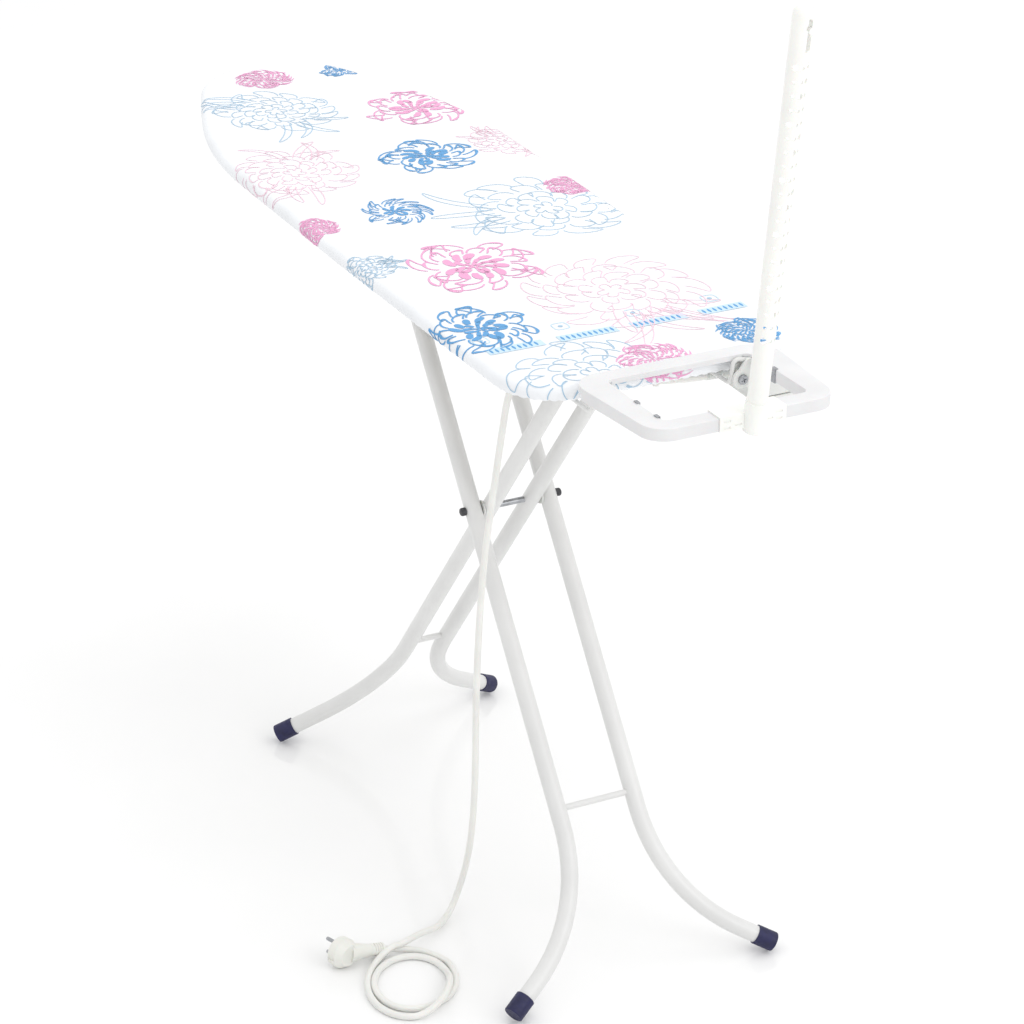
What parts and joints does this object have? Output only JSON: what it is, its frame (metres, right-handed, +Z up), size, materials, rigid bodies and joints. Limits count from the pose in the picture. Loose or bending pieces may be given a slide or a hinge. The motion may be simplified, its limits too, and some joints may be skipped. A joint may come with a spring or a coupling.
{
  "type": "ironing board",
  "caption": "Folding ironing board with a printed cotton cover, crossed tube legs, iron rest ring, flex holder mast and mains socket lead.",
  "frame": {"origin": "on the floor, under the middle of the object's bounding box without the free lead, coil and plug", "axes": "+Z up; +X along the board towards the iron rest; +Y across the board, so the free lead hangs at the -Y side"},
  "size_m": [1.4436, 0.5333, 1.3319],
  "materials": {
    "frame_steel": "warm white powder coat",
    "leg_steel": "warm white powder coat",
    "mesh_steel": "light grey paint on expanded steel",
    "zinc_steel": "zinc plated",
    "pad_felt": "needled felt",
    "cover_cotton": "printed cotton, white with pale blue and pink flowers",
    "navy_rubber": "matt navy",
    "dark_plastic": "matt dark grey",
    "white_plastic": "satin white",
    "grey_plastic": "satin light grey",
    "mast_plastic": "satin warm white",
    "cord_pvc": "satin white PVC",
    "plug_plastic": "satin white PVC",
    "brass": "plain"
  },
  "bodies": {
    "board": {"cord_clips": "white_plastic", "cord_coil": "cord_pvc", "cord_gland": "white_plastic", "cord_lead": "cord_pvc", "cord_tail": "cord_pvc", "cover": "cover_cotton", "ear_screw": "zinc_steel", "earth_clips": "zinc_steel", "end_crossbar": "frame_steel", "frame_joiner": "frame_steel", "frame_tube": "frame_steel", "hinge_crossbar": "frame_steel", "hinge_rod": "zinc_steel", "housing_clamp": "white_plastic", "latch_pins": "zinc_steel", "lid_screws": "zinc_steel", "mast_clamp": "mast_plastic", "mesh_panel": "mesh_steel", "nose_crossbar": "frame_steel", "outlet_contacts": "brass", "outlet_insert": "white_plastic", "pad": "pad_felt", "plug_body": "plug_plastic", "plug_pins": "zinc_steel", "plug_sleeve": "plug_plastic", "rack_crossbar": "frame_steel", "rack_left": "frame_steel", "rack_right": "frame_steel", "rest_clips": "zinc_steel", "rest_ring": "grey_plastic", "rest_stay": "frame_steel", "socket_housing": "white_plastic", "socket_lid": "white_plastic"},
    "inner_legs": {"inner_leg_left": "leg_steel", "inner_leg_right": "leg_steel", "inner_foot_left": "navy_rubber", "inner_foot_right": "navy_rubber", "inner_cross_rod": "leg_steel", "pivot_rod": "zinc_steel", "pivot_caps": "dark_plastic", "pivot_washers": "white_plastic"},
    "outer_legs": {"outer_leg_left": "leg_steel", "outer_leg_right": "leg_steel", "outer_foot_left": "navy_rubber", "outer_foot_right": "navy_rubber", "outer_cross_rod": "leg_steel", "slider_rod": "zinc_steel"},
    "release_lever": {"latch_plate_left": "zinc_steel", "latch_plate_right": "zinc_steel", "release_handle": "zinc_steel", "release_grip": "dark_plastic", "latch_springs": "zinc_steel"},
    "flex_mast": {"flex_mast": "mast_plastic"}
  },
  "joints": [
    {"name": "leg_fold", "type": "hinge", "parent": "board", "child": "inner_legs", "pos_m": [0.31607, 0, 0.79701], "axis": [0, 1, 0], "range_deg": [-6, 46]},
    {"name": "leg_scissor", "type": "hinge", "parent": "inner_legs", "child": "outer_legs", "pos_m": [0.0873, 0, 0.5024], "axis": [0, 1, 0], "range_deg": [-92, 12]},
    {"name": "height_release", "type": "hinge", "parent": "board", "child": "release_lever", "pos_m": [-0.0218, 0, 0.804], "axis": [0, -1, 0], "range_deg": [0, 8], "stiffness_Nm_per_rad": 6, "springref_deg": -5.73, "deforming": ["latch_springs"]},
    {"name": "mast_pull", "type": "slide", "parent": "board", "child": "flex_mast", "axis": [0.1201, 0, 0.9928], "range_m": [0, 0.03]}
  ],
  "couplings": [
    {"joint": "leg_scissor", "follows": "leg_fold", "ratio": -2}
  ]
}
